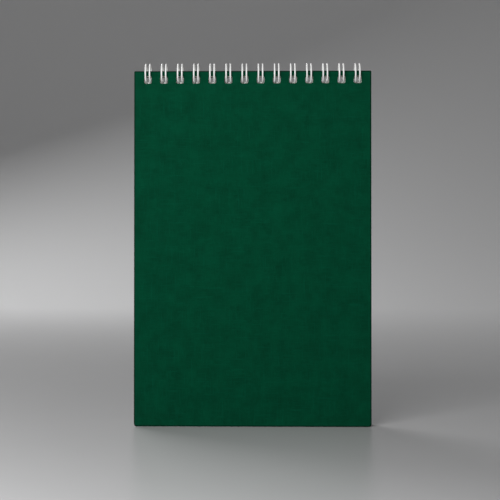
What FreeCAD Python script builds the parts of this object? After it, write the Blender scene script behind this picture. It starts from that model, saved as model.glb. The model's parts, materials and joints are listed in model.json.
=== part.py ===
import FreeCAD, Part
import math
import os

# Top-bound notebook on twin-loop wire, standing on the lower edges of its parted covers.
# X runs along the binding, the front cover faces -Y, Z is up, sizes are in millimetres.
# The origin is the middle of the bottom edges of covers and pages.

# Covers and leaves, cut flush to one outline
cover_width = 124.4
cover_height = 186.4
cover_thickness = 0.8
bottom_corner_radius = 1.6
top_corner_radius = 0.6
cover_splay = 0.7

# Paper block: pressed flat at the binding, fuller below it where the leaves hang loose
page_thickness = 3.0
page_gap = 0.3
pressed_length = 13.0
swell_length = 60.0

# Punching, three holes to the inch
loop_pitch = 25.4 / 3
hole_size = 4.0
hole_corner_radius = 0.8
hole_margin = 2.6
least_end_margin = 5.0

# Twin-loop wire: hairpin fingers joined by bridges behind the last leaf
wire_diameter = 0.9
finger_spacing = 2.2
base_bend_radius = 0.9
loop_play = 0.66
seat_gap = 0.2
closing_gap = 0.3
end_stub = 0.8

# The wire's round section and bends, drawn with flats and chords to keep the model light
wire_flats = 6
loop_chords = 16
tip_chords = 4
bend_chords = 2

# Clearances
slot_clearance = 0.11
flip_clearance = 0.26

# The stack from the front face to the back face, centred on Y = 0
wire_radius = wire_diameter / 2
bridge_slot = wire_diameter + 2 * slot_clearance
half_stack = (2 * cover_thickness + page_gap + page_thickness + bridge_slot) / 2
front_cover_y = -half_stack
back_cover_y = half_stack - cover_thickness
page_front_y = front_cover_y + cover_thickness + page_gap
page_back_y = page_front_y + page_thickness
page_swollen_y = back_cover_y - page_gap

# Row of holes and loops, as many as the width holds
loop_count = int((cover_width - 2 * least_end_margin) / loop_pitch) + 1
loop_xs = [(i - (loop_count - 1) / 2) * loop_pitch for i in range(loop_count)]
hole_z = cover_height - hole_margin - hole_size / 2

# The loops clear a cover that is turned right over, and hang on the lower edge of the holes
loop_radius = half_stack + cover_thickness + loop_play + wire_radius
loop_z = hole_z - hole_size / 2 + seat_gap + wire_radius + loop_radius

# Each cover turns about an axis inside the loops, past the middle on the far side from it,
# and stands a little open on the inner edge of its foot
hinge_y = (cover_thickness + flip_clearance) / 2
splay = math.radians(cover_splay)
inner_face_reach = half_stack - cover_thickness + hinge_y
foot_length = (loop_z + inner_face_reach * math.sin(splay)) / math.cos(splay)
foot_drop = foot_length - loop_z

# Bridges lie in the middle of the slot between the last leaf and the back cover
bridge_y = page_back_y + bridge_slot / 2
base_run = math.hypot(loop_radius, base_bend_radius)
base_angle = math.asin(bridge_y / base_run) - math.atan(base_bend_radius / loop_radius)

# Each finger's round tip stops just short of the two bends at its base
bend_span = finger_spacing / 2 + base_bend_radius
tip_run = math.sqrt((bend_span + wire_diameter + closing_gap) ** 2 - bend_span ** 2)
tip_angle = base_angle + tip_run / loop_radius


def vector(x, y, z):
    return FreeCAD.Vector(x, y, z)


def rounded_outline(left, bottom, width, height, lower_radius, upper_radius, y):
    """Closed wire of a rectangle in the XZ plane, with round corners."""
    right = left + width
    top = bottom + height
    corners = [
        (left, bottom, 1, 1, lower_radius),
        (right, bottom, -1, 1, lower_radius),
        (right, top, -1, -1, upper_radius),
        (left, top, 1, -1, upper_radius),
    ]
    arcs = []
    for x, z, inward_x, inward_z, radius in corners:
        beside = vector(x + inward_x * radius, y, z)
        above = vector(x, y, z + inward_z * radius)
        short = radius * (1 - math.sqrt(0.5))
        middle = vector(x + inward_x * short, y, z + inward_z * short)
        turns_upward = inward_x == inward_z
        ends = (above, beside) if turns_upward else (beside, above)
        arcs.append(Part.Arc(ends[0], middle, ends[1]).toShape())
    edges = []
    for i, arc in enumerate(arcs):
        following = arcs[(i + 1) % len(arcs)]
        edges.append(arc)
        edges.append(Part.makeLine(arc.Vertexes[-1].Point, following.Vertexes[0].Point))
    return Part.Wire(edges)


def punched_sheet(y):
    """Flat face of the common outline, with its row of holes."""
    outline = rounded_outline(
        -cover_width / 2, 0, cover_width, cover_height,
        bottom_corner_radius, top_corner_radius, y)
    holes = []
    for x in loop_xs:
        hole = rounded_outline(
            x - hole_size / 2, hole_z - hole_size / 2, hole_size, hole_size,
            hole_corner_radius, hole_corner_radius, y)
        holes.append(hole)
    sheet = Part.Face(outline)
    return sheet.cut([Part.Face(hole) for hole in holes])


def make_cover(y, side):
    """Board turned about its hinge axis, so that its foot parts from the leaves on its side."""
    board = punched_sheet(y).extrude(vector(0, cover_thickness, 0)).Solids[0]
    board.translate(vector(0, 0, -foot_drop))
    board.rotate(vector(0, -side * hinge_y, loop_z), vector(side, 0, 0), cover_splay)
    return board


def make_page_block():
    """Leaves as one solid, whose back swells from the binding down to the loose edge."""
    depth = page_swollen_y - page_front_y
    block = punched_sheet(page_front_y).extrude(vector(0, depth, 0)).Solids[0]
    x = -cover_width
    pressed_z = cover_height - pressed_length
    swollen_z = pressed_z - swell_length
    swell = page_swollen_y - page_back_y
    middle_z = (pressed_z + swollen_z) / 2
    top_z = cover_height + hole_margin
    outside_y = page_swollen_y + cover_thickness
    at_top = vector(x, page_back_y, top_z)
    at_pressed = vector(x, page_back_y, pressed_z)
    upper = vector(x, page_back_y + swell / 8, (pressed_z + middle_z) / 2)
    halfway = vector(x, page_back_y + swell / 2, middle_z)
    lower = vector(x, page_swollen_y - swell / 8, (middle_z + swollen_z) / 2)
    at_swollen = vector(x, page_swollen_y, swollen_z)
    outside_low = vector(x, outside_y, swollen_z)
    outside_top = vector(x, outside_y, top_z)
    edges = [
        Part.makeLine(at_top, at_pressed),
        Part.Arc(at_pressed, upper, halfway).toShape(),
        Part.Arc(halfway, lower, at_swollen).toShape(),
        Part.makeLine(at_swollen, outside_low),
        Part.makeLine(outside_low, outside_top),
        Part.makeLine(outside_top, at_top),
    ]
    pressed_away = Part.Face(Part.Wire(edges)).extrude(vector(2 * cover_width, 0, 0))
    return block.cut(pressed_away).Solids[0]


def loop_point(x, angle):
    """Point on a loop's centre line: the angle runs from straight down towards the back."""
    y = loop_radius * math.sin(angle)
    z = loop_z - loop_radius * math.cos(angle)
    return vector(x, y, z)


def loop_direction(angle):
    """Unit vector along the loop, towards the back at its lowest point."""
    return vector(0, math.cos(angle), math.sin(angle))


def loop_inward(angle):
    """Unit vector from a point of the loop to its centre."""
    return vector(0, -math.sin(angle), math.cos(angle))


def bend_points(start, heading, inward, radius, turn, chords):
    """Corners of short chords laid round a bend, which starts at a point with a heading."""
    step = turn / chords
    reach = radius / math.cos(step / 2)
    centre = start + inward * radius
    points = []
    for i in range(chords):
        angle = (i + 0.5) * step
        across = heading * math.sin(angle) - inward * math.cos(angle)
        points.append(centre + across * reach)
    return points


def finger_points(centre_x):
    """Corners of a hairpin finger, from its left base bend round its tip to its right one."""
    left_x = centre_x - finger_spacing / 2
    right_x = centre_x + finger_spacing / 2
    sideways = vector(1, 0, 0)
    base_heading = loop_direction(base_angle)
    tip_heading = loop_direction(tip_angle)
    leg_turn = base_angle + 2 * math.pi - tip_angle
    left_leg = loop_point(left_x, base_angle)
    left_bridge = left_leg + (base_heading - sideways) * base_bend_radius
    left_tip = loop_point(left_x, tip_angle)
    right_tip = loop_point(right_x, tip_angle)
    right_leg = loop_point(right_x, base_angle)
    points = bend_points(
        left_bridge, sideways, -base_heading, base_bend_radius, math.pi / 2, bend_chords)
    points += bend_points(
        left_leg, -base_heading, loop_inward(base_angle), loop_radius, leg_turn, loop_chords)
    points += bend_points(
        left_tip, -tip_heading, sideways, finger_spacing / 2, math.pi, tip_chords)
    points += bend_points(
        right_tip, tip_heading, loop_inward(tip_angle), loop_radius, leg_turn, loop_chords)
    points += bend_points(
        right_leg, base_heading, sideways, base_bend_radius, math.pi / 2, bend_chords)
    return points


def make_wire_binding():
    """One wire bent into a finger at each hole, with a bridge from each finger to the next."""
    end_x = finger_spacing / 2 + base_bend_radius + end_stub
    bridge_line = loop_point(0, base_angle) + loop_direction(base_angle) * base_bend_radius
    points = [bridge_line + vector(loop_xs[0] - end_x, 0, 0)]
    for x in loop_xs:
        points += finger_points(x)
    points.append(bridge_line + vector(loop_xs[-1] + end_x, 0, 0))
    section = []
    for i in range(wire_flats):
        angle = 2 * math.pi * i / wire_flats
        corner = vector(0, math.sin(angle), -math.cos(angle)) * wire_radius
        section.append(points[0] + corner)
    return flat_sided_wire(points, section)


def flat_sided_wire(points, section):
    """Solid of flats that run from corner to corner of a path, mitred at each."""
    rings = [section]
    for before, here, after in zip(points, points[1:], points[2:] + [None]):
        run = (here - before).normalize()
        mitre = run + (after - here).normalize() if after else run
        ring = []
        for corner in rings[-1]:
            ring.append(corner + run * ((here - corner).dot(mitre) / run.dot(mitre)))
        rings.append(ring)
    count = len(section)
    faces = [flat(rings[0]), flat(rings[-1])]
    for near, far in zip(rings, rings[1:]):
        for i in range(count):
            following = (i + 1) % count
            faces.append(flat([near[i], near[following], far[following], far[i]]))
    shell = Part.makeShell(faces)
    shell.sewShape()
    return Part.makeSolid(shell)


def flat(corners):
    return Part.Face(Part.makePolygon(corners + [corners[0]]))


nodes = {
    "front_cover": make_cover(front_cover_y, -1),
    "page_block": make_page_block(),
    "back_cover": make_cover(back_cover_y, 1),
    "wire_binding": make_wire_binding(),
}

os.makedirs("parts", exist_ok=True)
for name, shape in nodes.items():
    shape.exportStep("parts/" + name + ".step")
    box = shape.BoundBox
    print(name, shape.isValid(), len(shape.Solids), "solid,", round(shape.Volume, 2), "mm3,",
          "y", round(box.YMin, 3), round(box.YMax, 3), "z", round(box.ZMin, 3), round(box.ZMax, 3))
print("hinge axes at y", round(hinge_y, 4), "z", round(loop_z, 4), "foot drop", round(foot_drop, 4))
print("loops", loop_count, "radius", round(loop_radius, 4))
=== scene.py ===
# %% [markdown]
# # A top-bound notebook on twin-loop wire
# The imported CAD model is the fixed frame: four solids in metres, standing on z = 0.
# Every piece that is made here takes the place of one of them.

# %% Load the frame
import json
import math
import bpy
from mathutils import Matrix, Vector

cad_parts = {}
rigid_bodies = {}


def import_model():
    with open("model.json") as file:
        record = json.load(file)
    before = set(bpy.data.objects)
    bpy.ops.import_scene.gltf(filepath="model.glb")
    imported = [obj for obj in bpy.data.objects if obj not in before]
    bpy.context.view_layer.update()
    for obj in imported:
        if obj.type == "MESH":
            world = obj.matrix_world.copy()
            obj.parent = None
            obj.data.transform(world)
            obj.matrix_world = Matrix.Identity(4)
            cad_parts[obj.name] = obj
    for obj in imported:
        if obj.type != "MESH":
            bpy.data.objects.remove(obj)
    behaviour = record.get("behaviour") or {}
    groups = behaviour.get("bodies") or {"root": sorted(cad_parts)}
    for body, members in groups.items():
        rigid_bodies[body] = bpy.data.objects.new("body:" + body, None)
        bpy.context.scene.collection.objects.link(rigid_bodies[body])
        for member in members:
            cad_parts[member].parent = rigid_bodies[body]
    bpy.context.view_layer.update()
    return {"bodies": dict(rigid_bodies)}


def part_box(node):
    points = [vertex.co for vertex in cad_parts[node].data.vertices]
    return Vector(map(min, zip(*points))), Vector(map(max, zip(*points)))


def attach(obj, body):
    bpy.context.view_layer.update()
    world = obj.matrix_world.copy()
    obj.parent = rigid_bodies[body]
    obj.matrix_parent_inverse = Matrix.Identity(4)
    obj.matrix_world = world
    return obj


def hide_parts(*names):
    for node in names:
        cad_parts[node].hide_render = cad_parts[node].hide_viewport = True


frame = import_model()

print("bodies of the frame:", ", ".join(sorted(frame["bodies"])))

# %% [markdown]
# ## Sizes
# A bindery works from a short list: the trimmed size, the board, the punching and the wire.
# The trimmed size is read from the page block, so the pieces follow the CAD if it changes.
# The punching is three square holes to the inch, which also fixes the number of loops.

# %% Trimmed size, board and paper
MM = 0.001
QUARTER_TURN = math.radians(90)
page_low, page_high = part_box("page_block")
width = page_high[0] - page_low[0]
height = page_high[2] - page_low[2]
lower_corner = 1.6 * MM
upper_corner = 0.6 * MM
board_thickness = 0.8 * MM
page_gap = 0.3 * MM
pressed_thickness = 3.0 * MM
swell = (page_high[1] - page_low[1]) - pressed_thickness
pressed_length = 13.0 * MM
swell_length = 60.0 * MM
print("trimmed size in mm", round(width / MM, 2), "by", round(height / MM, 2))

# %% Punching
pitch = 25.4 * MM / 3
hole_size = 4.0 * MM
hole_corner = 0.8 * MM
hole_margin = 2.6 * MM
end_margin = 5.0 * MM
hole_count = int((width - 2 * end_margin) / pitch) + 1
hole_z = height - hole_margin - hole_size / 2
print(hole_count, "holes,", round(pitch / MM, 3), "mm apart, at height", round(hole_z / MM, 2))

# %% The wire
wire_radius = 0.45 * MM
finger_spacing = 2.2 * MM
base_bend = 0.9 * MM
slot_clearance = 0.11 * MM
loop_play = 0.66 * MM
seat_gap = 0.2 * MM
closing_gap = 0.3 * MM
end_stub = 0.8 * MM
bridge_slot = 2 * wire_radius + 2 * slot_clearance
wire_end_x = (hole_count - 1) / 2 * pitch + finger_spacing / 2 + base_bend + end_stub
# The CAD wire has six flats inside this radius, so a round one of equal section is thinner
six_sided_section = 1.5 * math.sqrt(3) * wire_radius ** 2
round_radius = math.sqrt(six_sided_section / math.pi)
print("round wire in mm", round(2 * round_radius / MM, 3), "across")

# %% The loops and the axes that the covers turn about
flip_clearance = 0.26 * MM
splay = math.radians(0.7)
half_stack = (2 * board_thickness + page_gap + pressed_thickness + bridge_slot) / 2
page_front = -half_stack + board_thickness + page_gap
loop_radius = half_stack + board_thickness + loop_play + wire_radius
loop_z = hole_z - hole_size / 2 + seat_gap + wire_radius + loop_radius
hinge_y = (board_thickness + flip_clearance) / 2
foot_reach = half_stack - board_thickness + hinge_y
foot_drop = (loop_z + foot_reach * math.sin(splay)) / math.cos(splay) - loop_z
print("loop radius in mm", round(loop_radius / MM, 3), "axis height", round(loop_z / MM, 3))

# %% [markdown]
# ## Helpers for node trees
# A node tree is like a written recipe: named inputs go in, and a shape or a few masks come out.
# Each node takes several lines if its options and links are set one by one.
# This helper adds a node and feeds its sockets in one call, so a tree reads from top to bottom.
# Geometry trees and shader trees share it.


# %% Write a node tree down
class NodeWriter:
    """Adds nodes to a tree, and links or fills their sockets."""

    def __init__(self, tree):
        self.tree = tree

    def node(self, kind, links=None, **settings):
        """A new node with its options set, and its sockets fed by name or number."""
        node = self.tree.nodes.new(kind)
        for option, value in settings.items():
            setattr(node, option, value)
        for socket, value in (links or {}).items():
            self.feed(node.inputs[socket], value)
        return node

    def feed(self, socket, value):
        """Links a socket to another one or to a node, or fills it with a plain value."""
        if isinstance(value, bpy.types.NodeSocket):
            self.tree.links.new(value, socket)
        elif isinstance(value, bpy.types.Node):
            self.tree.links.new(value.outputs[0], socket)
        else:
            socket.default_value = value

    def math(self, operation, *values, clamp=False):
        node = self.node("ShaderNodeMath", operation=operation, use_clamp=clamp)
        for i, value in enumerate(values):
            self.feed(node.inputs[i], value)
        return node.outputs[0]

    def axes(self, vector):
        """The X, Y and Z of a vector."""
        return self.node("ShaderNodeSeparateXYZ", {"Vector": vector}).outputs


print("node trees are written in Blender", bpy.app.version_string)

# %% [markdown]
# ## Recipes in Geometry Nodes
# A recipe's sizes are its named inputs, so one tree can serve two covers or many leaves.
# It ends in Realize Instances and Set Material.
# Its result is then stored as a plain mesh, because the export drops instances and modifiers.

# %% A geometry tree with named inputs
INPUT_KINDS = {
    "size": "NodeSocketFloat", "count": "NodeSocketInt", "material": "NodeSocketMaterial"}


class Recipe(NodeWriter):
    """A Geometry Nodes tree that makes one piece."""

    def __init__(self, name, inputs, takes_geometry=False):
        super().__init__(bpy.data.node_groups.new(name, "GeometryNodeTree"))
        sockets = self.tree.interface
        sockets.new_socket("Geometry", in_out="OUTPUT", socket_type="NodeSocketGeometry")
        if takes_geometry:
            sockets.new_socket("Geometry", in_out="INPUT", socket_type="NodeSocketGeometry")
        for label, kind in inputs:
            sockets.new_socket(label, in_out="INPUT", socket_type=INPUT_KINDS[kind])
        self.inputs = self.tree.nodes.new("NodeGroupInput").outputs
        self.end = self.tree.nodes.new("NodeGroupOutput")

    def position(self):
        return self.axes(self.node("GeometryNodeInputPosition"))

    def vector(self, x=0.0, y=0.0, z=0.0):
        return self.node("ShaderNodeCombineXYZ", {"X": x, "Y": y, "Z": z}).outputs[0]

    def minus(self, value):
        return self.math("MULTIPLY", value, -1.0)

    def place(self, geometry, move=None, turn=None):
        links = {"Geometry": geometry}
        if move is not None:
            links["Translation"] = move
        if turn is not None:
            links["Rotation"] = turn
        return self.node("GeometryNodeTransform", links)

    def join(self, *parts):
        node = self.node("GeometryNodeJoinGeometry")
        for part in reversed(parts):
            self.feed(node.inputs[0], part)
        return node

    def weld(self, geometry, distance):
        return self.node("GeometryNodeMergeByDistance", {
            "Geometry": geometry, "Distance": distance})

    def realize(self, geometry):
        return self.node("GeometryNodeRealizeInstances", {"Geometry": geometry})

    def store(self, geometry, name, value, domain="POINT"):
        """Keeps a number under a name on each point or edge."""
        return self.node("GeometryNodeStoreNamedAttribute", {
            "Geometry": geometry, "Name": name, "Value": value}, data_type="FLOAT", domain=domain)

    def finish(self, geometry):
        painted = self.node("GeometryNodeSetMaterial", {
            "Geometry": self.realize(geometry), "Material": self.inputs["Material"]})
        self.feed(self.end.inputs[0], painted)
        print("tree", self.tree.name, "has", len(self.tree.nodes), "nodes")
        return self.tree


print("a recipe's inputs are of the kinds", ", ".join(INPUT_KINDS))


# %% Run a recipe and keep its result as a plain mesh
def cook(name, recipe, values, start_mesh=None):
    """One object at the origin whose mesh is the recipe's result with these input values."""
    mesh = start_mesh or bpy.data.meshes.new(name + "_start")
    piece = bpy.data.objects.new(name, mesh)
    bpy.context.scene.collection.objects.link(piece)
    modifier = piece.modifiers.new("recipe", "NODES")
    modifier.node_group = recipe
    for item in recipe.interface.items_tree:
        if item.item_type == "SOCKET" and item.in_out == "INPUT" and item.name in values:
            modifier[item.identifier] = values[item.name]
    bpy.context.view_layer.update()
    evaluated = piece.evaluated_get(bpy.context.evaluated_depsgraph_get())
    result = bpy.data.meshes.new_from_object(evaluated)
    piece.modifiers.clear()
    piece.data = result
    result.name = name
    if mesh.users == 0:
        bpy.data.meshes.remove(mesh)
    print(name, "has", len(result.vertices), "points and", len(result.polygons), "faces")
    return piece


# %% [markdown]
# ## The punched outline
# Covers and leaves are cut to one outline and punched together, so the same steps make both.
# A Quadrilateral with Fillet Curve gives the outline, and the holes are one square on a line.
# Fill Curve then makes a flat face with the holes left open.
# Cutting the holes with a Boolean would also work, but a filled curve gives cleaner faces.

# %% Sizes that covers and leaves share
SHEET_INPUTS = [
    ("Width", "size"), ("Height", "size"), ("Lower corner", "size"), ("Upper corner", "size"),
    ("Hole size", "size"), ("Hole corner", "size"), ("Hole height", "size"), ("Pitch", "size"),
    ("Holes", "count")]
SHEET_VALUES = {
    "Width": width, "Height": height, "Lower corner": lower_corner, "Upper corner": upper_corner,
    "Hole size": hole_size, "Hole corner": hole_corner, "Hole height": hole_z,
    "Pitch": pitch, "Holes": hole_count}
print("covers and leaves share", len(SHEET_INPUTS), "sizes")

# %% Steps: outlines with round corners
# A Mix node has sockets for each kind of value, so the ones for numbers are picked by number
MIX_SHARE = 0
MIX_NUMBERS = (2, 3)


def add_rounded_rectangle(recipe, wide, tall, radius, corner_steps):
    square = recipe.node("GeometryNodeCurvePrimitiveQuadrilateral", {
        "Width": wide, "Height": tall})
    return recipe.node("GeometryNodeFilletCurve", {
        "Curve": square, "Radius": radius, "Count": corner_steps}, mode="POLY")


def add_sheet_outline(recipe, wide, tall, lower_radius, upper_radius, corner_steps):
    """Rectangle round the origin whose lower and upper corners have different radii."""
    is_upper = recipe.math("GREATER_THAN", recipe.position()["Y"], 0.0)
    low, high = MIX_NUMBERS
    radius = recipe.node("ShaderNodeMix", {
        MIX_SHARE: is_upper, low: lower_radius, high: upper_radius}, data_type="FLOAT")
    return add_rounded_rectangle(recipe, wide, tall, radius, corner_steps)


print("corners of the sheets in mm", round(lower_corner / MM, 1), round(upper_corner / MM, 1))


# %% Steps: a row of copies, and the row of holes
def add_row(recipe, item, count, row_height):
    """Copies of an item on a line along X, a pitch apart, with the line's middle at x = 0."""
    steps = recipe.math("SUBTRACT", count, 1.0)
    row_length = recipe.math("MULTIPLY", steps, recipe.inputs["Pitch"])
    line = recipe.node("GeometryNodeMeshLine", {
        "Count": count,
        "Start Location": recipe.vector(recipe.math("MULTIPLY", row_length, -0.5), row_height),
        "Offset": recipe.vector(recipe.inputs["Pitch"])})
    row = recipe.node("GeometryNodeInstanceOnPoints", {"Points": line, "Instance": item})
    return recipe.realize(row)


def add_hole_row(recipe, corner_steps):
    """Square punch outlines along the binding edge."""
    size = recipe.inputs["Hole size"]
    hole = add_rounded_rectangle(recipe, size, size, recipe.inputs["Hole corner"], corner_steps)
    return add_row(recipe, hole, recipe.inputs["Holes"], recipe.inputs["Hole height"])


print("the row of holes is", round((hole_count - 1) * pitch / MM, 2), "mm long")


# %% Step: from a flat face to a closed sheet
def add_thickness(recipe, face, thickness, weld_distance):
    """The face turned over, joined to the same face lifted with its side walls."""
    reverse = recipe.node("GeometryNodeFlipFaces", {"Mesh": face})
    lifted = recipe.node("GeometryNodeExtrudeMesh", {
        "Mesh": face, "Offset Scale": thickness, "Individual": False}, mode="FACES")
    return recipe.weld(recipe.join(reverse, lifted), weld_distance)


print("boards are", round(board_thickness / MM, 2), "mm thick")

# %% [markdown]
# ## Covers
# The real cover is one stiff board, covered in dark green cloth-like paper and die cut.
# Its outline is extruded by the board's thickness, closed, and turned upright.
# An edge weight marks the rim and, more lightly, the hole edges, and a Bevel modifier reads it.
# So the rim is softly rounded while the punched holes stay crisp.
# Last, the board turns a little about its hinge, so that the notebook can stand on parted feet.

# %% Steps: the flat board and its edge weights
BOARD_CORNER_STEPS = 8
BOARD_HOLE_STEPS = 5
BOARD_WELD = 1e-7
# Edges are sharp from this many radians, and rim edges are found by where they are:
# in a band along the sides or the top, or below this share of the height
SHARP_ANGLE = 0.8
SIDE_BAND = 2.0 * MM
TOP_BAND = 1.0 * MM
BELOW_HOLES = 0.8
RIM_WEIGHT = 1.0
HOLE_WEIGHT = 0.35


def add_flat_board(r):
    wide, tall = r.inputs["Width"], r.inputs["Height"]
    outline = add_sheet_outline(
        r, wide, tall, r.inputs["Lower corner"], r.inputs["Upper corner"], BOARD_CORNER_STEPS)
    raised = r.place(outline, move=r.vector(0.0, r.math("MULTIPLY", tall, 0.5)))
    face = r.node("GeometryNodeFillCurve", {
        "Curve": r.join(raised, add_hole_row(r, BOARD_HOLE_STEPS))})
    return add_thickness(r, face, r.inputs["Thickness"], BOARD_WELD)


def mark_edges(r, board):
    """Sharp edges get a bevel weight: the full one on the rim, a small one on the holes."""
    spot = r.position()
    edge_angle = r.node("GeometryNodeInputMeshEdgeAngle").outputs["Unsigned Angle"]
    is_sharp = r.math("GREATER_THAN", edge_angle, SHARP_ANGLE)
    half_width = r.math("MULTIPLY", r.inputs["Width"], 0.5)
    side_start = r.math("SUBTRACT", half_width, SIDE_BAND)
    at_side = r.math("GREATER_THAN", r.math("ABSOLUTE", spot["X"]), side_start)
    top_start = r.math("SUBTRACT", r.inputs["Height"], TOP_BAND)
    at_top = r.math("GREATER_THAN", spot["Y"], top_start)
    holes_start = r.math("MULTIPLY", r.inputs["Height"], BELOW_HOLES)
    is_below = r.math("LESS_THAN", spot["Y"], holes_start)
    at_rim = r.math("MAXIMUM", at_side, r.math("MAXIMUM", at_top, is_below))
    weight = r.math("MULTIPLY_ADD", at_rim, RIM_WEIGHT - HOLE_WEIGHT, HOLE_WEIGHT)
    return r.store(board, "bevel_weight_edge", r.math("MULTIPLY", is_sharp, weight), "EDGE")


print("bevel weights: rim", RIM_WEIGHT, "holes", HOLE_WEIGHT)


# %% Tree: a cover board, standing at its hinge
def stand_at_hinge(r, board):
    """Stands the flat board up at its depth, and turns it about its hinge axis."""
    upright = r.place(board, turn=(QUARTER_TURN, 0.0, 0.0))
    depth = r.math("ADD", r.inputs["Face y"], r.inputs["Thickness"])
    set_back = r.place(upright, move=r.vector(0.0, depth, r.minus(r.inputs["Foot drop"])))
    hinge_depth, hinge_height = r.inputs["Hinge y"], r.inputs["Hinge z"]
    to_hinge = r.vector(0.0, r.minus(hinge_depth), r.minus(hinge_height))
    turned = r.place(r.place(set_back, move=to_hinge), turn=r.vector(r.inputs["Turn"]))
    return r.place(turned, move=r.vector(0.0, hinge_depth, hinge_height))


def build_board_recipe():
    r = Recipe("cover_board", SHEET_INPUTS + [
        ("Thickness", "size"), ("Face y", "size"), ("Foot drop", "size"),
        ("Hinge y", "size"), ("Hinge z", "size"), ("Turn", "size"), ("Material", "material")])
    return r.finish(stand_at_hinge(r, mark_edges(r, add_flat_board(r))))


board_recipe = build_board_recipe()

# %% [markdown]
# ## Shared surface effects
# Crossing threads, the trimmed rim and a fine grain are each a shader node group.
# A group only puts out masks and heights, and each material makes its own colour of them.
# All patterns read Object coordinates, which are metres here, so a thread keeps its real width.

# %% Write a material or a shader group down
# The Mix node's sockets for colours
MIX_COLOURS = (6, 7)
MIXED_COLOUR = 2


class Shade(NodeWriter):
    """Node helper for a material or a shader group."""

    def range(self, value, span, result=(0.0, 1.0)):
        """Where the value runs over the span, the result runs smoothly from first to last."""
        return self.node("ShaderNodeMapRange", {
            "Value": value, "From Min": span[0], "From Max": span[1],
            "To Min": result[0], "To Max": result[1]},
            interpolation_type="SMOOTHSTEP").outputs["Result"]

    def noise(self, vector, kind):
        """Noise of one unit's size, of a kind given by its detail and roughness."""
        detail, roughness = kind
        return self.node("ShaderNodeTexNoise", {
            "Vector": vector, "Scale": 1.0, "Detail": detail,
            "Roughness": roughness}).outputs["Fac"]

    def blend(self, share, first, second):
        """One colour turning into another as the share goes from 0 to 1."""
        start, end = MIX_COLOURS
        return self.node("ShaderNodeMix", {
            MIX_SHARE: share, start: first, end: second}, data_type="RGBA").outputs[MIXED_COLOUR]

    def group(self, tree, links):
        return self.node("ShaderNodeGroup", links, node_tree=tree).outputs

    def bump(self, height, strength, depth):
        return self.node("ShaderNodeBump", {
            "Height": height, "Strength": strength, "Distance": depth}).outputs[0]


def new_shader_group(name, inputs, outputs):
    tree = bpy.data.node_groups.new(name, "ShaderNodeTree")
    for label, kind in inputs:
        tree.interface.new_socket(label, in_out="INPUT", socket_type=kind)
    for label in outputs:
        tree.interface.new_socket(label, in_out="OUTPUT", socket_type="NodeSocketFloat")
    given = tree.nodes.new("NodeGroupInput").outputs
    out = tree.nodes.new("NodeGroupOutput").inputs
    print("shader group", name, "puts out", ", ".join(outputs))
    return Shade(tree), given, out


print("colours go into a Mix node by its sockets", MIX_COLOURS)

# %% [markdown]
# ### Crossing threads
# Cover paper of this kind is embossed like woven cloth, with fine ribs both ways.
# Here and there a thicker thread, a slub, runs on for some millimetres.
# A wave texture would look like a machine grid, so each rib is noise that is drawn out one way.
# Through the board the noise is drawn out to a metre, so it hardly changes there.

# %% Group: crossing threads with slubs
THREAD_WIDTH = 0.34 * MM
THREAD_LENGTH = 5.0 * MM
SLUB_WIDTH = 0.7 * MM
SLUB_LENGTH = 16.0 * MM
FINE_SIZE = 0.3 * MM
CLOUD_SIZE = 9.0 * MM
THROUGH_BOARD = 1.0
SLUB_SPAN = (0.56, 0.8)
FINE_SHARE = 0.35
THREAD_SHARE = 0.75
RIB_NOISE = (1.5, 0.5)
FINE_NOISE = (2.0, 0.6)
SLUB_NOISE = (1.0, 0.5)
CLOUD_NOISE = (5.0, 0.62)


def drawn_out(shade, vector, across, along):
    """The vector divided by a width along X and one along Z, both in metres."""
    scale = (1 / across, 1 / THROUGH_BOARD, 1 / along)
    return shade.node("ShaderNodeMapping", {"Vector": vector, "Scale": scale}).outputs[0]


def build_thread_group():
    """Height and Slub run from 0 to 1 over the ribs, Cloud is a slow change of tone."""
    shade, given, out = new_shader_group(
        "crossing_threads", [("Vector", "NodeSocketVector")], ["Height", "Slub", "Cloud"])
    where = given["Vector"]
    weft = shade.noise(drawn_out(shade, where, THREAD_LENGTH, THREAD_WIDTH), RIB_NOISE)
    warp = shade.noise(drawn_out(shade, where, THREAD_WIDTH, THREAD_LENGTH), RIB_NOISE)
    fine = shade.noise(drawn_out(shade, where, FINE_SIZE, FINE_SIZE), FINE_NOISE)
    long_weft = shade.noise(drawn_out(shade, where, SLUB_LENGTH, SLUB_WIDTH), SLUB_NOISE)
    long_warp = shade.noise(drawn_out(shade, where, SLUB_WIDTH, SLUB_LENGTH), SLUB_NOISE)
    threads = shade.math("MULTIPLY", shade.math("MAXIMUM", weft, warp), THREAD_SHARE)
    slubs = shade.math("MAXIMUM", long_weft, long_warp)
    shade.feed(out["Height"], shade.math("MULTIPLY_ADD", fine, FINE_SHARE, threads, clamp=True))
    shade.feed(out["Slub"], shade.range(slubs, SLUB_SPAN))
    cloud_spot = drawn_out(shade, where, CLOUD_SIZE, CLOUD_SIZE)
    shade.feed(out["Cloud"], shade.noise(cloud_spot, CLOUD_NOISE))
    return shade.tree


thread_group = build_thread_group()
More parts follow.
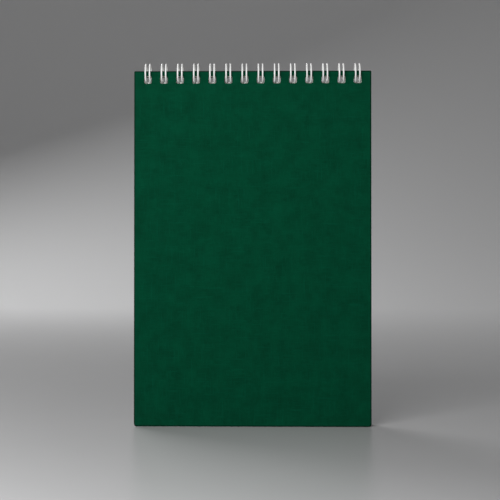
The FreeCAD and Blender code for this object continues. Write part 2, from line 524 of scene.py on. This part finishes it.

# %% [markdown]
# ### The trimmed rim
# The cover's finish has painted shade along its trimmed edges and a paler band just inside them,
# so it needs to know the rim.
# A pointiness map would find the hole edges too, and it depends on the mesh.
# Here the distance to the nearest edge is worked out from the trimmed size instead.


# %% Group: how near a point is to the trimmed rim
def build_rim_group():
    """Rim is 1 on the outer edge, and falls to 0 at the given reach inside it."""
    shade, given, out = new_shader_group("trimmed_rim", [
        ("Vector", "NodeSocketVector"), ("Half width", "NodeSocketFloat"),
        ("Height", "NodeSocketFloat"), ("Reach", "NodeSocketFloat")], ["Rim"])
    spot = shade.axes(given["Vector"])
    to_side = shade.math("SUBTRACT", given["Half width"], shade.math("ABSOLUTE", spot["X"]))
    to_top = shade.math("SUBTRACT", given["Height"], spot["Z"])
    nearest = shade.math("MINIMUM", to_side, shade.math("MINIMUM", to_top, spot["Z"]))
    inside = shade.math("DIVIDE", nearest, given["Reach"], clamp=True)
    shade.feed(out["Rim"], shade.math("SUBTRACT", 1.0, inside))
    return shade.tree


rim_group = build_rim_group()

# %% [markdown]
# ### Fine grain
# Paper fibres and a dipped coating both show a fine grain with slow blotches over it.
# They differ only in size, so one group serves both, and the studio's paper sweep too.

# %% Group: paper or coating grain
BLOTCH_SCALE = 0.06
GRAIN_NOISE = (3.0, 0.6)
BLOTCH_NOISE = (3.0, 0.55)


def build_grain_group():
    """Grain and Blotch are noise from 0 to 1, the blotches many grains wide."""
    shade, given, out = new_shader_group("fine_grain", [
        ("Vector", "NodeSocketVector"), ("Grain size", "NodeSocketFloat")], ["Grain", "Blotch"])
    per_grain = shade.math("DIVIDE", 1.0, given["Grain size"])
    small = shade.node("ShaderNodeVectorMath", {
        "Vector": given["Vector"], "Scale": per_grain}, operation="SCALE").outputs[0]
    large = shade.node("ShaderNodeVectorMath", {
        "Vector": small, "Scale": BLOTCH_SCALE}, operation="SCALE").outputs[0]
    shade.feed(out["Grain"], shade.noise(small, GRAIN_NOISE))
    shade.feed(out["Blotch"], shade.noise(large, BLOTCH_NOISE))
    return shade.tree


grain_group = build_grain_group()

# %% [markdown]
# ## Finishes
# Each finish is a Principled surface whose colour, roughness and bump come from the groups.
# A picture of paper or cloth would fit one size only and would need an image file.
# Patterns worked out from the place on the piece fit every piece at their real size.


# %% Start a material
def start_material(name):
    material = bpy.data.materials.new(name)
    material.use_nodes = True
    shade = Shade(material.node_tree)
    surface = material.node_tree.nodes["Principled BSDF"].inputs
    where = shade.node("ShaderNodeTexCoord").outputs["Object"]
    print("material", name, "reads", where.name, "coordinates")
    return material, shade, surface, where


print("groups for the finishes:", thread_group.name, rim_group.name, grain_group.name)

# %% [markdown]
# ### Green cover board
# The cover is matte, deep green and slightly cloudy, with thread-like ribs that catch some light.
# Along the rim it is darker, which is painted shade where the rounded edge turns away,
# and just inside that it is a little paler, first on the high threads.
# Roughness and bump follow the same threads as the colour, so they line up.

# %% Material: green board
GREEN_DEEP = (0.0001, 0.0295, 0.0125, 1.0)
GREEN_MIDDLE = (0.0001, 0.0455, 0.0198, 1.0)
GREEN_PALE = (0.0008, 0.0715, 0.0358, 1.0)
# a paler band near the rim, on the high threads
GREEN_RIM_PALE = (0.0060, 0.0800, 0.0440, 1.0)
# painted shade: the dark colour laid along the rim
GREEN_RIM_SHADE = (0.0001, 0.0120, 0.0055, 1.0)
CLOUD_SPAN = (0.24, 0.76)
RIB_SPAN = (0.42, 0.8)
RIB_PALENESS = (0.0, 0.32)
SLUB_PALENESS = 0.28
SLUB_HEIGHT = 0.5
RIM_REACH = 2.0 * MM
PALE_BAND_SPAN = (0.1, 0.6)
PALE_BAND_SHARE = (0.0, 0.08)
HIGH_THREADS = (0.3, 0.7)
HIGH_THREAD_SHARE = (0.5, 1.0)
# painted shade along the rim: where it starts and how dark it gets
RIM_SHADE_SPAN = (0.5, 0.86)
RIM_SHADE_SHARE = (0.0, 0.85)
SHEEN_SPAN = (0.3, 0.8)
BOARD_ROUGHNESS = (0.92, 0.74)
BOARD_SPECULAR = 0.03
BOARD_BUMP = 0.55
BOARD_RELIEF = 0.06 * MM


def add_threads(shade, threads):
    """Cloudy green with paler ribs and slubs."""
    clouded = shade.range(threads["Cloud"], CLOUD_SPAN)
    ground = shade.blend(clouded, GREEN_DEEP, GREEN_MIDDLE)
    ribbed = shade.range(threads["Height"], RIB_SPAN, RIB_PALENESS)
    threaded = shade.blend(ribbed, ground, GREEN_PALE)
    slubbed = shade.math("MULTIPLY", threads["Slub"], SLUB_PALENESS)
    return shade.blend(slubbed, threaded, GREEN_PALE)


def add_rim_shade_and_pale_band(shade, threads, rim, green):
    """Paler high threads near the rim, and painted shade along the rim itself."""
    # a paler band near the rim, strongest on the high threads
    near_rim = shade.range(rim, PALE_BAND_SPAN, PALE_BAND_SHARE)
    on_top = shade.range(threads["Height"], HIGH_THREADS, HIGH_THREAD_SHARE)
    pale_band = shade.blend(shade.math("MULTIPLY", near_rim, on_top), green, GREEN_RIM_PALE)
    # painted shade: the rim is darkened all round, as if the rounded edge turned from the light
    rim_shade = shade.range(rim, RIM_SHADE_SPAN, RIM_SHADE_SHARE)
    return shade.blend(rim_shade, pale_band, GREEN_RIM_SHADE)


def make_cover_material():
    material, shade, surface, where = start_material("green_board")
    threads = shade.group(thread_group, {"Vector": where})
    rim = shade.group(rim_group, {
        "Vector": where, "Half width": width / 2, "Height": height, "Reach": RIM_REACH})["Rim"]
    green = add_threads(shade, threads)
    shade.feed(surface["Base Color"], add_rim_shade_and_pale_band(shade, threads, rim, green))
    shade.feed(
        surface["Roughness"], shade.range(threads["Height"], SHEEN_SPAN, BOARD_ROUGHNESS))
    surface["Specular IOR Level"].default_value = BOARD_SPECULAR
    relief = shade.math("MULTIPLY_ADD", threads["Slub"], SLUB_HEIGHT, threads["Height"])
    shade.feed(surface["Normal"], shade.bump(relief, BOARD_BUMP, BOARD_RELIEF))
    return material


cover_material = make_cover_material()

# %% [markdown]
# ### Off-white paper
# The leaves are uncoated paper, a warm off-white with soft blotches and fine fibres.
# In a trimmed stack each leaf's edge has its own tone, and that is what shows that it is a stack.
# The leaf tree stores that tone as an attribute, which the material reads here.

# %% Material: leaf paper
PAPER_WARM = (0.835, 0.82, 0.76, 1.0)
PAPER_CLEAN = (0.86, 0.845, 0.79, 1.0)
PAPER_SHADED = (0.70, 0.675, 0.61, 1.0)
LEAF_TONE = "leaf_tone"
LEAF_TONE_SHARE = 0.6
PAPER_GRAIN = 0.5 * MM
PAPER_BLOTCH_SPAN = (0.35, 0.65)
GRAIN_SPAN = (0.3, 0.7)
PAPER_ROUGHNESS = (0.84, 0.94)
PAPER_SPECULAR = 0.25
PAPER_BUMP = 0.3
PAPER_RELIEF = 0.02 * MM


def make_paper_material():
    material, shade, surface, where = start_material("leaf_paper")
    grain = shade.group(grain_group, {"Vector": where, "Grain size": PAPER_GRAIN})
    leaf = shade.node("ShaderNodeAttribute", attribute_name=LEAF_TONE).outputs["Fac"]
    blotched = shade.range(grain["Blotch"], PAPER_BLOTCH_SPAN)
    sheet = shade.blend(blotched, PAPER_WARM, PAPER_CLEAN)
    shaded = shade.math("MULTIPLY", leaf, LEAF_TONE_SHARE)
    shade.feed(surface["Base Color"], shade.blend(shaded, sheet, PAPER_SHADED))
    shade.feed(surface["Roughness"], shade.range(grain["Grain"], GRAIN_SPAN, PAPER_ROUGHNESS))
    surface["Specular IOR Level"].default_value = PAPER_SPECULAR
    shade.feed(surface["Normal"], shade.bump(grain["Grain"], PAPER_BUMP, PAPER_RELIEF))
    return material


paper_material = make_paper_material()

# %% [markdown]
# ### White coated wire
# Binding wire is steel with a smooth white nylon coating, a little dull in places.
# It is coated before it is cut, so bare steel shows only at the two ends.
# The same mask, measured from the ends, turns both the colour and the metal on there.

# %% Material: coated wire
COAT_WHITE = (0.80, 0.80, 0.79, 1.0)
COAT_DULL = (0.73, 0.73, 0.72, 1.0)
BARE_STEEL = (0.42, 0.41, 0.40, 1.0)
COAT_GRAIN = 0.25 * MM
DULL_SPAN = (0.4, 0.7)
COAT_ROUGHNESS = (0.36, 0.48)
COAT_BUMP = 0.12
COAT_RELIEF = 0.01 * MM
COAT_ENDS = wire_end_x - 0.12 * MM
STEEL_STARTS = wire_end_x - 0.05 * MM


def make_wire_material():
    material, shade, surface, where = start_material("coated_wire")
    grain = shade.group(grain_group, {"Vector": where, "Grain size": COAT_GRAIN})
    dulled = shade.range(grain["Blotch"], DULL_SPAN)
    coat = shade.blend(dulled, COAT_WHITE, COAT_DULL)
    outward = shade.math("ABSOLUTE", shade.axes(where)["X"])
    bare = shade.range(outward, (COAT_ENDS, STEEL_STARTS))
    shade.feed(surface["Base Color"], shade.blend(bare, coat, BARE_STEEL))
    shade.feed(surface["Metallic"], bare)
    shade.feed(surface["Roughness"], shade.range(grain["Grain"], GRAIN_SPAN, COAT_ROUGHNESS))
    shade.feed(surface["Normal"], shade.bump(grain["Grain"], COAT_BUMP, COAT_RELIEF))
    return material


wire_material = make_wire_material()

# %% [markdown]
# ## Making the two covers
# Both boards come from the same tree.
# The front one turns towards the viewer, the back one away, each about its own axis in the loops.
# The corners have very short edges, and the Bevel modifier would shrink its width to fit them.
# Its overlap clamp is therefore off, and the width is small enough that nothing folds over.

# %% Cover pieces
RIM_ROUNDING = 0.36 * MM
RIM_STEPS = 4


def make_cover(name, face_y, side):
    cover = cook(name, board_recipe, {
        **SHEET_VALUES, "Thickness": board_thickness, "Face y": face_y, "Foot drop": foot_drop,
        "Hinge y": -side * hinge_y, "Hinge z": loop_z, "Turn": side * splay,
        "Material": cover_material})
    bevel = cover.modifiers.new("rim rounding", "BEVEL")
    bevel.width = RIM_ROUNDING
    bevel.segments = RIM_STEPS
    bevel.limit_method = "WEIGHT"
    bevel.use_clamp_overlap = False
    for polygon in cover.data.polygons:
        polygon.use_smooth = True
    smooth = cover.modifiers.new("even shading", "WEIGHTED_NORMAL")
    smooth.keep_sharp = False
    return cover


front_cover = make_cover("front_cover_board", -half_stack, -1)
back_cover = make_cover("back_cover_board", half_stack - board_thickness, 1)

# %% [markdown]
# ## Leaves
# The block is thirty-six leaves of ordinary paper, each one a separate thin sheet.
# One solid block would be quicker, but its trimmed edges would show no leaves.
# One leaf is built from three strips: a punched strip that stays pressed, one that can bend,
# and a lower strip with rounded corners. The tree repeats it and numbers each copy from 0 to 1.
# That number moves a leaf back through the stack, further where the pad swells below the binding.
# A small seeded shift of each leaf keeps the trimmed edge from looking like one block.

# %% Steps: one leaf, lying in XY
LEAF_CORNER_STEPS = 4
LEAF_HOLE_STEPS = 3
BEND_ROWS = 17
LEAF_WELD = 1e-6


def add_strip(r, low, high, lower_radius, upper_radius, *holes):
    """A filled strip of the sheet from one height to another."""
    span = r.math("SUBTRACT", high, low)
    outline = add_sheet_outline(
        r, r.inputs["Width"], span, lower_radius, upper_radius, LEAF_CORNER_STEPS)
    middle = r.math("MULTIPLY_ADD", span, 0.5, low)
    raised = r.place(outline, move=r.vector(0.0, middle))
    return r.node("GeometryNodeFillCurve", {"Curve": r.join(raised, *holes)})


def add_leaf(r, pressed_z, swollen_z):
    holes = add_hole_row(r, LEAF_HOLE_STEPS)
    punched = add_strip(
        r, pressed_z, r.inputs["Height"], 0.0, r.inputs["Upper corner"], holes)
    lower = add_strip(r, 0.0, swollen_z, r.inputs["Lower corner"], 0.0)
    grid = r.node("GeometryNodeMeshGrid", {
        "Size X": r.inputs["Width"], "Size Y": r.inputs["Swell length"],
        "Vertices X": 2, "Vertices Y": BEND_ROWS})
    middle = r.math("MULTIPLY", r.math("ADD", pressed_z, swollen_z), 0.5)
    bending = r.place(grid, move=r.vector(0.0, middle))
    sheet = r.weld(r.join(punched, lower, bending), LEAF_WELD)
    return add_thickness(r, sheet, r.inputs["Leaf thickness"], LEAF_WELD)


print("each leaf bends in", BEND_ROWS - 1, "rows over", round(swell_length / MM, 1), "mm")

# %% Steps: number, shift and settle the leaves
# Random Value's sockets for plain numbers are picked by number
RANDOM_LOW = 2
RANDOM_HIGH = 3
RANDOM_RESULT = 1
LEAF_PLACE = "leaf_place"


def add_random(r, low, high, index, seed):
    """A random number for each leaf, the same in every run."""
    return r.node("FunctionNodeRandomValue", {
        RANDOM_LOW: low, RANDOM_HIGH: high, "ID": index,
        "Seed": seed}, data_type="FLOAT").outputs[RANDOM_RESULT]


def add_leaf_points(r):
    """One point for each leaf, which knows its place and tone and is shifted a little."""
    points = r.node("GeometryNodeMeshLine", {
        "Count": r.inputs["Leaves"], "Start Location": (0.0, 0.0, 0.0),
        "Offset": (0.0, 0.0, 0.0)})
    index = r.node("GeometryNodeInputIndex")
    last = r.math("SUBTRACT", r.inputs["Leaves"], 1.0)
    numbered = r.store(points, LEAF_PLACE, r.math("DIVIDE", index, last))
    tone = add_random(r, 0.0, 1.0, index, r.inputs["Tone seed"])
    sideways = add_random(r, -1.0, 1.0, index, r.inputs["Sideways seed"])
    upward = add_random(r, 0.0, 1.0, index, r.inputs["Upward seed"])
    shift = r.vector(
        r.math("MULTIPLY", sideways, r.inputs["Shift"]), 0.0,
        r.math("MULTIPLY", upward, r.inputs["Shift"]))
    return r.node("GeometryNodeSetPosition", {
        "Geometry": r.store(numbered, LEAF_TONE, tone), "Offset": shift})


def settle_leaves(r, stack, pressed_z):
    """Moves each leaf back to its place, and further where the stack swells."""
    below_pressed = r.math("SUBTRACT", pressed_z, r.position()["Z"])
    down = r.math("DIVIDE", below_pressed, r.inputs["Swell length"])
    eased = r.node("ShaderNodeMapRange", {"Value": down}, interpolation_type="SMOOTHSTEP")
    depth = r.math("MULTIPLY_ADD", eased, r.inputs["Swell"], r.inputs["Pressed depth"])
    room = r.math("SUBTRACT", depth, r.inputs["Leaf thickness"])
    place = r.node("GeometryNodeInputNamedAttribute", {"Name": LEAF_PLACE}, data_type="FLOAT")
    back = r.math("MULTIPLY_ADD", place, room, r.inputs["Front y"])
    move = r.vector(0.0, r.math("ADD", back, r.inputs["Leaf thickness"]))
    return r.node("GeometryNodeSetPosition", {"Geometry": stack, "Offset": move})


print("the stack swells by", round(swell / MM, 2), "mm")


# %% Tree: the stack of leaves
def build_leaf_recipe():
    r = Recipe("leaf_stack", SHEET_INPUTS + [
        ("Leaves", "count"), ("Leaf thickness", "size"), ("Front y", "size"),
        ("Pressed depth", "size"), ("Swell", "size"), ("Pressed length", "size"),
        ("Swell length", "size"), ("Shift", "size"), ("Tone seed", "count"),
        ("Sideways seed", "count"), ("Upward seed", "count"), ("Material", "material")])
    pressed_z = r.math("SUBTRACT", r.inputs["Height"], r.inputs["Pressed length"])
    swollen_z = r.math("SUBTRACT", pressed_z, r.inputs["Swell length"])
    leaf = add_leaf(r, pressed_z, swollen_z)
    upright = r.place(leaf, turn=(QUARTER_TURN, 0.0, 0.0))
    copies = r.node("GeometryNodeInstanceOnPoints", {
        "Points": add_leaf_points(r), "Instance": upright})
    return r.finish(settle_leaves(r, r.realize(copies), pressed_z))


leaf_recipe = build_leaf_recipe()

# %% The leaves
LEAF_COUNT = 36
LEAF_THICKNESS = 0.074 * MM
TRIM_PLAY = 0.08 * MM
leaves = cook("paper_leaves", leaf_recipe, {
    **SHEET_VALUES, "Width": width - 2 * TRIM_PLAY, "Height": height - TRIM_PLAY,
    "Leaves": LEAF_COUNT, "Leaf thickness": LEAF_THICKNESS, "Front y": page_front,
    "Pressed depth": pressed_thickness, "Swell": swell, "Pressed length": pressed_length,
    "Swell length": swell_length, "Shift": TRIM_PLAY, "Tone seed": 5, "Sideways seed": 11,
    "Upward seed": 17, "Material": paper_material})

# %% [markdown]
# ## Twin-loop wire
# One wire runs the whole width, bent back on itself into a hairpin finger at every hole.
# Each finger curls nearly full circle, so that its round tip closes against its own base.
# A drawn curve would have to be redrawn for every size, so the line is worked out from arcs.
# The tree repeats it along the binding. The copies meet end to end, so merging their points
# gives one long line, along which a circle is swept.


# %% Points on arcs and loops
def arc_points(centre, first, second, radius, start, stop, steps):
    """Points round a centre, from one angle to another, in the plane of two unit vectors."""
    points = []
    for i in range(steps + 1):
        angle = start + (stop - start) * i / steps
        along_first = first * (radius * math.cos(angle))
        along_second = second * (radius * math.sin(angle))
        points.append(centre + along_first + along_second)
    return points


def loop_point(x, angle):
    """On a loop, the angle runs from straight down towards the back."""
    return Vector((x, loop_radius * math.sin(angle), loop_z - loop_radius * math.cos(angle)))


def loop_heading(angle):
    """Which way the wire runs at an angle of the loop."""
    return Vector((0.0, math.cos(angle), math.sin(angle)))


print("lowest point of the loops in mm", round(loop_point(0.0, 0.0).z / MM, 3))

# %% Where a finger starts, and where its tip stops
bridge_y = page_front + pressed_thickness + bridge_slot / 2
bridge_turn = math.asin(bridge_y / math.hypot(loop_radius, base_bend))
base_angle = bridge_turn - math.atan(base_bend / loop_radius)
bend_span = finger_spacing / 2 + base_bend
tip_run = math.sqrt((bend_span + 2 * wire_radius + closing_gap) ** 2 - bend_span ** 2)
tip_angle = base_angle + tip_run / loop_radius
full_turn = base_angle + 2 * math.pi
print("a finger starts at", round(math.degrees(base_angle), 1), "degrees and its tip is at",
      round(math.degrees(tip_angle), 1))

# %% Centre line of one finger
LOOP_STEPS = 44
BEND_STEPS = 6
TIP_STEPS = 12


def leg_points(x, start, stop):
    """One leg of a finger, round the loop, without the point that it starts from."""
    points = []
    for i in range(1, LOOP_STEPS + 1):
        points.append(loop_point(x, start + (stop - start) * i / LOOP_STEPS))
    return points


def finger_line():
    """From the middle of one bridge, round the finger, to the middle of the next bridge."""
    sideways = Vector((1.0, 0.0, 0.0))
    base, tip = loop_heading(base_angle), loop_heading(tip_angle)
    half = finger_spacing / 2
    half_bridge = sideways * (pitch / 2 - half - base_bend)
    left_bend = loop_point(-half, base_angle) - sideways * base_bend
    right_bend = loop_point(half, base_angle) + sideways * base_bend
    points = [left_bend + base * base_bend - half_bridge]
    points += arc_points(left_bend, base, sideways, base_bend, 0.0, QUARTER_TURN, BEND_STEPS)
    points += leg_points(-half, full_turn, tip_angle)
    points += arc_points(
        loop_point(0.0, tip_angle), -sideways, -tip, half, 0.0, math.pi, TIP_STEPS)[1:]
    points += leg_points(half, tip_angle, full_turn)
    points += arc_points(
        right_bend, -sideways, base, base_bend, 0.0, QUARTER_TURN, BEND_STEPS)[1:]
    points.append(right_bend + base * base_bend + half_bridge)
    return points


finger = finger_line()
finger_mesh = bpy.data.meshes.new("finger_line")
finger_mesh.from_pydata(finger, [(i, i + 1) for i in range(len(finger) - 1)], [])
print("one finger has", len(finger), "points on its centre line")

# %% Tree: repeat the finger and sweep the wire
WIRE_WELD = 1e-6
WIRE_SIDES = 14


def build_wire_recipe():
    r = Recipe("twin_loop_wire", [
        ("Fingers", "count"), ("Pitch", "size"), ("Wire radius", "size"), ("End x", "size"),
        ("Material", "material")], takes_geometry=True)
    row = add_row(r, r.inputs["Geometry"], r.inputs["Fingers"], 0.0)
    one_line = r.weld(row, WIRE_WELD)
    spot = r.position()
    right_end = r.inputs["End x"]
    kept_x = r.math("MAXIMUM", r.minus(right_end), r.math("MINIMUM", spot["X"], right_end))
    trimmed = r.node("GeometryNodeSetPosition", {
        "Geometry": one_line, "Position": r.vector(kept_x, spot["Y"], spot["Z"])})
    path = r.node("GeometryNodeMeshToCurve", {"Mesh": trimmed})
    section = r.node("GeometryNodeCurvePrimitiveCircle", {
        "Resolution": WIRE_SIDES, "Radius": r.inputs["Wire radius"]})
    wire = r.node("GeometryNodeCurveToMesh", {
        "Curve": path, "Profile Curve": section, "Fill Caps": True})
    return r.finish(r.node("GeometryNodeSetShadeSmooth", {"Geometry": wire}))


wire_recipe = build_wire_recipe()
wire = cook("twin_loop_wire", wire_recipe, {
    "Fingers": hole_count, "Pitch": pitch, "Wire radius": round_radius, "End x": wire_end_x,
    "Material": wire_material}, start_mesh=finger_mesh)

# %% [markdown]
# ## Bodies
# Each piece rides on the CAD body that carries it and stands for one CAD node.
# The leaves and the wire stay together, and each cover swings about its own hinge.

# %% Ride and replace
PIECES = [
    (front_cover, "front_cover", "cover_board", "front_cover"),
    (back_cover, "back_cover", "cover_board", "back_cover"),
    (leaves, "pad", "paper", "page_block"),
    (wire, "pad", "coated_wire", "wire_binding")]
for piece, body, finish, node in PIECES:
    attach(piece, body)
    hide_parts(node)
    print(piece.name, "rides on", body, "and stands for", node)

# %% [markdown]
# ## Floor and backdrop
# In a studio, a roll of pale paper hangs down and runs out as the floor, so no horizon shows.
# A plane and a wall would show a line where they meet, so the mesh follows the paper's curve.
# The paper is a middle grey under the notebook and gets paler towards the back.

# %% The paper sweep
SWEEP_FRONT = -7.0
SWEEP_BACK = 2.4
SWEEP_RADIUS = 1.2
SWEEP_TOP = 4.0
SWEEP_HALF_WIDTH = 7.0
SWEEP_STEPS = 24


def make_sweep():
    curve_start = SWEEP_BACK - SWEEP_RADIUS
    profile = [(SWEEP_FRONT, 0.0), (curve_start, 0.0)]
    for i in range(1, SWEEP_STEPS + 1):
        angle = QUARTER_TURN * i / SWEEP_STEPS
        profile.append((
            curve_start + SWEEP_RADIUS * math.sin(angle), SWEEP_RADIUS * (1 - math.cos(angle))))
    profile.append((SWEEP_BACK, SWEEP_TOP))
    sides = (-SWEEP_HALF_WIDTH, SWEEP_HALF_WIDTH)
    points = [(x, y, z) for y, z in profile for x in sides]
    faces = [(2 * i, 2 * i + 1, 2 * i + 3, 2 * i + 2) for i in range(len(profile) - 1)]
    mesh = bpy.data.meshes.new("studio_sweep")
    mesh.from_pydata(points, [], faces)
    for polygon in mesh.polygons:
        polygon.use_smooth = True
    sweep = bpy.data.objects.new("studio_sweep", mesh)
    bpy.context.scene.collection.objects.link(sweep)
    return sweep


sweep = make_sweep()
print("the sweep has", len(sweep.data.polygons), "faces")

# %% Material: sweep paper
FLOOR_GREY = (0.39, 0.39, 0.394, 1.0)
FLOOR_PALE = (0.405, 0.405, 0.409, 1.0)
BACKDROP_WHITE = (0.84, 0.84, 0.845, 1.0)
FLOOR_TO_BACKDROP = (0.1, 1.6)
FLOOR_GRAIN = 2.0 * MM
FLOOR_ROUGHNESS = 0.3
FLOOR_SPECULAR = 0.5


def make_sweep_material():
    material, shade, surface, where = start_material("sweep_paper")
    grain = shade.group(grain_group, {"Vector": where, "Grain size": FLOOR_GRAIN})
    floor = shade.blend(grain["Blotch"], FLOOR_GREY, FLOOR_PALE)
    backdrop = shade.range(shade.axes(where)["Y"], FLOOR_TO_BACKDROP)
    shade.feed(surface["Base Color"], shade.blend(backdrop, floor, BACKDROP_WHITE))
    surface["Roughness"].default_value = FLOOR_ROUGHNESS
    surface["Specular IOR Level"].default_value = FLOOR_SPECULAR
    return material


sweep.data.materials.append(make_sweep_material())

# %% [markdown]
# ## Lamps and world
# A near soft lamp at the upper left gives the main light and its fall-off over the cover.
# A second one, close in front at the height of the loops, lights the holes and the lower
# half of the loops. A large one behind lights the backdrop and the back cover.
# The lamps are kept out of the camera's sight, and the world adds a low, even light.

# %% Lamps
LAMPS = [
    ("key_lamp", (-0.20, -0.36, 0.40), (0.0, 0.0, 0.15), 0.2, 1.18),
    ("fill_lamp", (-0.07, -0.42, 0.16), (0.0, 0.0, 0.16), 0.12, 0.98),
    ("back_lamp", (-0.8, 1.2, 1.1), (0.0, 0.0, height / 2), 1.0, 14.0)]


def aim(direction):
    """The turn that points a lamp or camera, which looks down its own -Z, in a direction."""
    return direction.to_track_quat("-Z", "Y").to_euler()


def add_lamp(name, place, target, size, watts):
    light = bpy.data.lights.new(name, "AREA")
    light.shape = "DISK"
    light.size = size
    light.energy = watts
    lamp = bpy.data.objects.new(name, light)
    lamp.location = place
    lamp.visible_camera = False
    lamp.rotation_euler = aim(Vector(target) - Vector(place))
    bpy.context.scene.collection.objects.link(lamp)
    print(name, "gives", watts, "W from a disk of", size, "m")


for name, place, target, size, watts in LAMPS:
    add_lamp(name, place, target, size, watts)

# %% World and view
WORLD_WHITE = (1.0, 1.0, 1.0, 1.0)
WORLD_LEVEL = 0.165
world = bpy.data.worlds.new("studio_air")
world.use_nodes = True
air = world.node_tree.nodes["Background"].inputs
air["Color"].default_value = WORLD_WHITE
air["Strength"].default_value = WORLD_LEVEL
bpy.context.scene.world = world
bpy.context.scene.view_settings.view_transform = "Standard"
print("world level", WORLD_LEVEL)

# %% [markdown]
# ## Camera
# The photograph was taken almost straight on, level with the middle of the notebook.
# The covers' corners and the loops' places in the picture give the two small angles,
# the distance and the aim. A long lens keeps the sides of the cover nearly upright.

# %% Camera
CAMERA_AZIMUTH = math.radians(1.157)
CAMERA_ELEVATION = math.radians(0.093)
CAMERA_DISTANCE = 0.6223
CAMERA_AIM = Vector((-0.0014, 0.0, 0.0924))
FOCAL_LENGTH = 85.0
SENSOR_WIDTH = 36.0
NEAREST_SEEN = 0.01
towards_camera = Vector((
    math.sin(CAMERA_AZIMUTH) * math.cos(CAMERA_ELEVATION),
    -math.cos(CAMERA_AZIMUTH) * math.cos(CAMERA_ELEVATION),
    math.sin(CAMERA_ELEVATION)))
lens = bpy.data.cameras.new("studio_camera")
lens.lens = FOCAL_LENGTH
lens.sensor_width = SENSOR_WIDTH
lens.clip_start = NEAREST_SEEN
camera = bpy.data.objects.new("studio_camera", lens)
camera.location = CAMERA_AIM + towards_camera * CAMERA_DISTANCE
camera.rotation_euler = aim(-towards_camera)
bpy.context.scene.collection.objects.link(camera)
bpy.context.scene.camera = camera
print("camera at", [round(value, 4) for value in camera.location])
